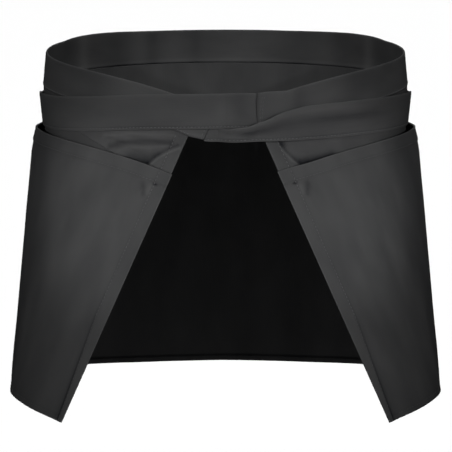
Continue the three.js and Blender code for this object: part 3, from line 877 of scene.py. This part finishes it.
# Small folds of the pocket beside the bartack, as the panel's, with their painted highlight and shade,
# and
# its soft swells: the place across and down, the reach both ways and the height
POCKET_FOLDS = [
    (((0.4424, 0.0600), (0.4470, 0.0700)), 0.0026, -0.0005, -0.4),
    (((0.4505, 0.0600), (0.4515, 0.0680)), 0.0018, 0.0004, 0.25),
]
POCKET_SWELLS = [
    (0.300, 0.120, 0.018, 0.100, 0.0006),
    (0.345, 0.150, 0.022, 0.110, -0.0006),
    (0.395, 0.110, 0.022, 0.060, 0.0007),
    (0.420, 0.200, 0.020, 0.080, -0.0005),
    (0.268, 0.060, 0.006, 0.030, 0.0007),
    (0.256, 0.070, 0.005, 0.030, -0.0006),
    (0.283, 0.075, 0.007, 0.030, -0.0005),
]


def pocket_point(across, down):
    place, out, along, fall = panel_frame(across, down + mouth_sag(across, down))
    lie = CLOTH / 2 + 1.5 * CLEARANCE + POCKET_GAPE * pocket_room(across, down)
    mouth = 1 - smooth(MOUTH_HEM - 0.0018, MOUTH_HEM + 0.0022, down - MOUTH_DROP)
    away = abs(across)
    ripple = sum(
        height * math.exp(-(((away - at) / reach) ** 2) - ((down - depth) / tall) ** 2)
        for at, depth, reach, tall, height in POCKET_SWELLS
    )
    off = lie + mix(CLOTH, HEM, mouth) + bartack_pucker(across, down) + ripple
    return place + out * off


def side_hem(down):
    """How wide the side hem shows: it curls in towards the foot."""
    return mix(SIDE_HEM, CURL_HEM, min(max((down - CURL_FROM) / (PANEL_LENGTH - CURL_FROM), 0), 1))


# Wear and painted light on the pocket: pale hem folds, partly rubbed wear and partly painted
# highlight; painted shade in the hem grooves, in the pucker beside the bartack and inside the curled
# side hem towards the foot; the side hem's strip paler towards the foot; a broad darker band down the
# pocket; and the painted highlight and shade of its small folds.
def pocket_wear_and_painted_light(across, down):
    bartack = line(abs(across), side_seam + 0.001, 0.0022) * line(down, 0.0565, 0.0012)
    inward = pocket_edge - abs(across)
    low = smooth(0.45, 0.95, down / PANEL_LENGTH)
    hem = side_hem(down) + POCKET_OVER
    strip = smooth(0, 0.002, inward) * (1 - smooth(hem - 0.001, hem + 0.001, inward))
    return (
        hem_wear_and_painted_light(inward, hem, mix(0.12, 0.5, low))
        + hem_wear_and_painted_light(abs(across) - POCKET_FRONT, 0.0025, 0.3)
        + hem_wear_and_painted_light(down - MOUTH_DROP, MOUTH_HEM, 0.05) * 0.6
        + hem_wear_and_painted_light(PANEL_LENGTH - down, FOOT_HEM, 0.1)
        - 0.9 * bartack
        + mix(-0.05, 0.22, low) * strip
        - 0.22 * low * line(inward, hem + 0.002, 0.0034)
        - 0.2 * line(abs(across), 0.312, 0.026)
        + (read_folds(POCKET_FOLDS, abs(across), down)[1] if inward < 0.04 and down < 0.09 else 0)
    )


def pocket(name, node, side):
    width = pocket_edge - POCKET_FRONT
    length = PANEL_LENGTH - MOUTH_DROP
    form = flat_grid(150, 110, width, length)
    refine(form, 2, lambda x, y: x * side > width / 2 - SIDE_HEM - 0.005)
    refine(form, 1, lambda x, y: y < MOUTH_HEM + 0.003 or y > length - FOOT_HEM - 0.003)
    keep_flat_places(form)
    weights = []
    for vert in form.verts:
        across = side * (POCKET_FRONT + width / 2 + vert.co.x * side)
        down = MOUTH_DROP + vert.co.y
        vert[form.verts.layers.float["wear_and_painted_light"]] = pocket_wear_and_painted_light(across, down)
        mouth = 1 - smooth(MOUTH_HEM - 0.0018, MOUTH_HEM + 0.0022, vert.co.y)
        weights.append(mix(CLOTH / HEM, 1, mouth))
        vert.co = pocket_point(across, down)
    piece = link_piece(name, form, twill_material(name + "_twill", 0))
    thicken(piece, HEM, 1, weights)
    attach(piece, "root")
    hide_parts(node)
    stitches = bmesh.new()
    mouth_seam = MOUTH_DROP + MOUTH_HEM
    front_seam = side * (POCKET_FRONT + 0.0025)
    side_run = side * side_seam
    curl_end = side * (half_panel - side_hem(PANEL_LENGTH))
    sew(stitches, pocket_point, (side_run, MOUTH_DROP + 0.002), (side_run, CURL_FROM))
    sew(stitches, pocket_point, (side_run, CURL_FROM), (curl_end, PANEL_LENGTH), THREAD_DEEP)
    sew(stitches, pocket_point, (side * POCKET_FRONT, mouth_seam), (side_run, mouth_seam), THREAD_SUNK)
    sew(stitches, pocket_point, (side * POCKET_FRONT, foot_seam), (side_run, foot_seam), THREAD_DEEP)
    sew(stitches, pocket_point, (front_seam, MOUTH_DROP + 0.002), (front_seam, PANEL_LENGTH))
    link_stitches(name.replace("cloth", "stitches"), stitches)


pocket("pocket_left_cloth", "pocket_left", -1)
pocket("pocket_right_cloth", "pocket_right", 1)

# The ties
# Long folded strips sewn to the ends of the waistband. They cross over the open back: the right one
# passes over the left one's end, and the left one is squeezed up below it and laid over it again.
TIE_WIDTH = 0.0345
TIE_THICK = 0.0018
TIE_PINCH_THICK = 0.0046
TIE_STAND_OFF = 0.0036
TIE_LEAN_IN = 0.0064
KNOT_WIDTH = 0.030
KNOT_HEIGHT = 0.026
KNOT_DEPTH = 0.017
KNOT_OFF = CLOTH / 2 + KNOT_DEPTH / 2 + 2 * CLEARANCE
# The way along a tie: 0 its sewn end, 1 the middle of the back, 2 the other end of the band, 3 the
# side of the body, 4 the knot. The lower edge is a share of TIE_LOW, the height a share of
# TIE_WIDTH, off a share of the way out over the waistband, bulk and roll shares of the squeeze,
# and tuck says how far the tie leans in below the waistband
TIE_COLUMNS = ("at", "low", "wide", "off", "bulk", "roll", "tuck")
TIE_OVER = [
    (0, 0.7, 1, 0, 0, 0, 0),
    (0.5, 0.69, 1, 0.25, 0, 0, 0),
    (1, 0.69, 1, 0.8, 0, 0, 0),
    (1.3, 0.69, 1, 1, 0, 0, 0),
    (2, 0.7, 1, 1, 0, 0, 0),
    (2.25, 0.74, 1, 1, 0, 0, 0),
    (2.5, 0.86, 1, 1, 0, 0, 0.05),
    (2.72, 0.985, 1, 1.2, 0, 0, 0.6),
    (3, 1.07, 0.97, 1.35, 0, 0, 1),
    (3.1, 1.12, 0.93, 1.35, 0, 0, 0.95),
    (3.5, 0.95, 1, 1.2, 0, 0, 0.3),
    (3.84, 0.93, 0.94, 1.2, 0, 0, 0),
    (4, 0.8, 0.6, 1.2, 0.5, 0, 0),
]
TIE_UNDER = [
    (0, 1, 0.96, 0, 0, 0, 0),
    (0.3, 1.01, 0.78, 0, 0.2, 0, 0),
    (0.6, 1.01, 0.378, 0.1, 0.7, 0.1, 0),
    (0.8, 1.01, 0.372, 0.6, 0.9, 0.3, 0),
    (1, 1.01, 0.374, 1.25, 1, 0.6, 0),
    (1.2, 1.01, 0.396, 1.9, 1, 0.8, 0),
    (1.6, 1, 0.43, 2, 0.8, 1, 0),
    (2, 0.99, 0.55, 1.7, 0.5, 1, 0),
    (2.12, 0.99, 0.83, 1.35, 0.25, 0.8, 0),
    (2.25, 0.975, 0.97, 1.1, 0, 0.4, 0),
    (2.5, 0.96, 1, 1, 0, 0.1, 0.05),
    (2.8, 1, 1, 1.2, 0, 0, 0.75),
    (3, 1.07, 0.97, 1.35, 0, 0, 1),
    (3.1, 1.12, 0.93, 1.35, 0, 0, 0.95),
    (3.5, 0.95, 1, 1.2, 0, 0, 0.3),
    (3.84, 0.93, 0.94, 1.2, 0, 0, 0),
    (4, 0.8, 0.6, 1.2, 0.5, 0, 0),
]


def round_place(around, height, off):
    """A place that stands off the waist, from its way round from the front and its height."""
    length = min(abs(around), half_ring)
    ahead = on_ring(waist_ring, min(length + 0.001, half_ring))
    behind = on_ring(waist_ring, max(length - 0.001, 0))
    out = Vector((behind[1] - ahead[1], ahead[0] - behind[0], 0)).normalized()
    read = {key: read_table(threads["round"], threads[key], length) for key in threads}
    fall = Vector((read["low_x"] - read["top_x"], read["low_y"] - read["top_y"], 0))
    flare = fall.dot(out) / (read["top"] - read["low"])
    x, y = on_ring(waist_ring, length)
    place = Vector((x, y, height)) + out * (flare * (read["top"] - height) + off)
    place.x = math.copysign(place.x, around) if length > 1e-6 else place.x
    return place


def tie_column(rows, column, at):
    """One column of a tie's table, read along a smooth curve through its rows."""
    index = TIE_COLUMNS.index(column)
    return read_curve([row[0] for row in rows], [row[index] for row in rows], at)


def band_end(side, past):
    """The heights of the end of the band, and how far it is from the middle of the back there."""
    heights, distances = [], []
    for step in range(9):
        foot, out, up = band_frame(side * (half_panel + past), BAND_HEIGHT * step / 8)
        place = foot + up * BAND_HEIGHT * step / 8
        heights.append(place.z)
        distances.append(abs(place.x))
    return heights, distances


# Painted highlight and shade on each tie across its rolls and where the other tie presses on it: the
# way along and across it, the reach of both, and how pale it is
TIE_PAINTED_SHADING = {
    "tie_left": [
        (1.75, 0.45, 0.12, 0.10, 0.30), (1.80, 0.42, 0.52, 0.20, -0.60),
        (2.42, 0.20, 0.44, 0.09, -0.35), (2.30, 0.25, 0.14, 0.10, 0.25),
    ],
    "tie_right": [(0.50, 0.28, 0.45, 0.5, -0.22), (1.25, 0.25, 0.40, 0.4, 0.14)],
}


def tie_stops(own, other):
    """How far each stop of the table lies along the tie, with how far back its start is."""
    start = own[1][0] - CLEARANCE
    backs = (start, 0, -other[1][0], -half_ring / 2, -(half_ring - KNOT_WIDTH / 2))
    return start, [start - back for back in backs]


def tie_point(rows, own, other, side, at, share):
    """A place on the middle of a tie, share 0 along its top edge and 1 along its foot."""
    layer = BAND_THICK / 2 + 4 * CLEARANCE + TIE_THICK / 2
    start, stops = tie_stops(own, other)
    back = start - read_table(range(5), stops, at)
    seam = read_table(threads["round"], threads["top"], half_ring - abs(back))
    low = -tie_column(rows, "low", at) * TIE_LOW
    mouth_edge = MOUTH_DROP + mouth_sag(half_ring - abs(back), MOUTH_DROP)
    low = max(low, seam - mouth_edge + 5 * CLEARANCE) if at > 2 else low
    wide = tie_column(rows, "wide", at)
    height = low + wide * TIE_WIDTH * (1 - share)
    lean = own[1][0] - read_table(own[0], own[1], height)
    leant = back - lean * (1 - smooth(0, 0.9, at))
    lean_in = TIE_STAND_OFF - TIE_LEAN_IN * share
    off = mix(layer * tie_column(rows, "off", at), lean_in, tie_column(rows, "tuck", at))
    off = mix(off, KNOT_OFF, smooth(3.8, 4, at))
    crest = 0.0016 * math.exp(-((share / 0.2) ** 2))
    crease = 0.0012 * math.exp(-(((share - 0.42) / 0.16) ** 2))
    off += tie_column(rows, "roll", at) * (crest - crease)
    around = math.copysign(half_ring - abs(leant), side * leant) if leant else half_ring
    return round_place(around, height, off)


def tie_thick(rows, at, share):
    round_edge = 0.5 + 0.5 * smooth(-0.02, 0.09, min(share, 1 - share))
    squeezed = TIE_PINCH_THICK * (0.35 + 0.65 * math.sin(math.pi * share))
    return round_edge * mix(TIE_THICK, squeezed, tie_column(rows, "bulk", at))


def tie(name, node, rows, own_past, other_past, side):
    own = band_end(side, own_past)
    other = band_end(-side, other_past)
    stops = tie_stops(own, other)[1]
    form = flat_grid(320, 20, 4, 1)
    for vert in form.verts:
        vert.co.y -= 0.13 * math.sin(2 * math.pi * vert.co.y)
    weights = []
    flat = form.loops.layers.uv["flat"]
    for face in form.faces:
        for loop in face.loops:
            laid = read_table(range(5), stops, loop.vert.co.x + 2)
            loop[flat].uv = (laid, loop.vert.co.y * TIE_WIDTH)
    for vert in form.verts:
        at, share = vert.co.x + 2, vert.co.y
        wide = TIE_WIDTH * tie_column(rows, "wide", at)
        # Pale along both edges, partly rubbed wear and partly painted highlight, with painted shade in
        # the groove of the stitching and the painted highlight and shade of the rolls.
        edges = line(share * wide, 0, 0.0010) + line((1 - share) * wide, 0, 0.0008)
        groove = line((1 - share) * wide, 0.0026, 0.0008)
        painted_tone = sum(
            painted_shading * line(at, place, reach) * line(share, height, tall)
            for place, reach, height, tall, painted_shading in TIE_PAINTED_SHADING[node]
        )
        vert[form.verts.layers.float["wear_and_painted_light"]] = 0.3 * edges - 0.25 * groove + painted_tone
        weights.append(tie_thick(rows, at, share) / TIE_PINCH_THICK)
        vert.co = tie_point(rows, own, other, side, at, share)
    if side > 0:
        bmesh.ops.reverse_faces(form, faces=form.faces)
    piece = link_piece(name, form, twill_material(name + "_twill", math.pi / 2))
    thicken(piece, TIE_PINCH_THICK, 0, weights)
    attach(piece, "root")
    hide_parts(node)
    stitches = bmesh.new()
    count = int((stops[-1] - 0.03) / STITCH_PITCH)
    for number in range(count):
        at = read_table(stops, range(5), 0.004 + number * STITCH_PITCH)
        share = 1 - 0.0020 / (TIE_WIDTH * tie_column(rows, "wide", at))
        here = tie_point(rows, own, other, side, at, share)
        along = (tie_point(rows, own, other, side, at + 0.01, share) - here).normalized()
        out = along.cross(tie_point(rows, own, other, side, at, share - 0.05) - here).normalized()
        out *= math.copysign(1, out.dot(Vector((here.x, here.y, 0))))
        stitch(stitches, here + out * (tie_thick(rows, at, share) / 2 + 0.00005), out, along)
    link_stitches(name.replace("cloth", "stitches"), stitches)
    return piece


tie_left_cloth = tie("tie_left_cloth", "tie_left", TIE_UNDER, BAND_PAST_LEFT, BAND_PAST_RIGHT, -1)
tie_right_cloth = tie("tie_right_cloth", "tie_right", TIE_OVER, BAND_PAST_RIGHT, BAND_PAST_LEFT, 1)

# The knot
# The ties are knotted once in front, and their ends hang down. The knot is a lump of wrapped cloth.
TAIL_LENGTH = 0.150
TAIL_WIDTH = 0.032
knot_low = 0.8
knot_wide = 0.6
knot_height = knot_wide * TIE_WIDTH * 0.5 - knot_low * TIE_LOW
knot_place = round_place(0, knot_height, KNOT_OFF)
knot_form = bmesh.new()
bmesh.ops.create_uvsphere(knot_form, u_segments=56, v_segments=32, radius=0.5)
for vert in knot_form.verts:
    way = vert.co.normalized()
    turn = math.atan2(way.z, way.x)
    groove = math.sin(3 * (way.x * 0.9 + way.z * 0.7) * math.pi + 0.6)
    vert.co *= 0.97 + 0.035 * groove * (1 - abs(way.y) * 0.4) + 0.012 * math.sin(5 * turn)
    vert.co.x *= KNOT_WIDTH
    vert.co.y *= KNOT_DEPTH
    vert.co.z *= KNOT_HEIGHT
    vert.co += knot_place
knot_twill = twill_material("knot_twill", 0)
front_knot_cloth = link_piece("front_knot_cloth", knot_form, knot_twill)
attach(front_knot_cloth, "root")
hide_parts("front_knot")

for tail_name, tail_lean, tail_layer in (("tail_left", -0.26, 0.0039), ("tail_right", 0.2, 0.0016)):
    tail_form = flat_grid(16, 60, 1, TAIL_LENGTH)
    keep_flat_places(tail_form)
    for vert in tail_form.verts:
        edge, down = vert.co.x, vert.co.y
        wide = TAIL_WIDTH * mix(0.45, 1, smooth(0, 0.35, down / TAIL_LENGTH))
        pleat = 0.0016 * math.cos(edge * 2.5 * math.pi) * (1 - smooth(0, 0.6, down / TAIL_LENGTH))
        off = CLOTH / 2 + CLEARANCE + TIE_THICK / 2 + tail_layer + pleat
        around = tail_lean * down + edge * wide
        vert.co = round_place(around, knot_height - 0.25 * KNOT_HEIGHT - down, off)
    tail = link_piece(tail_name + "_cloth", tail_form, twill_material(tail_name + "_twill", 0))
    thicken(tail, TIE_THICK, 0)
    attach(tail, "root")
    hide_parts("front_knot")
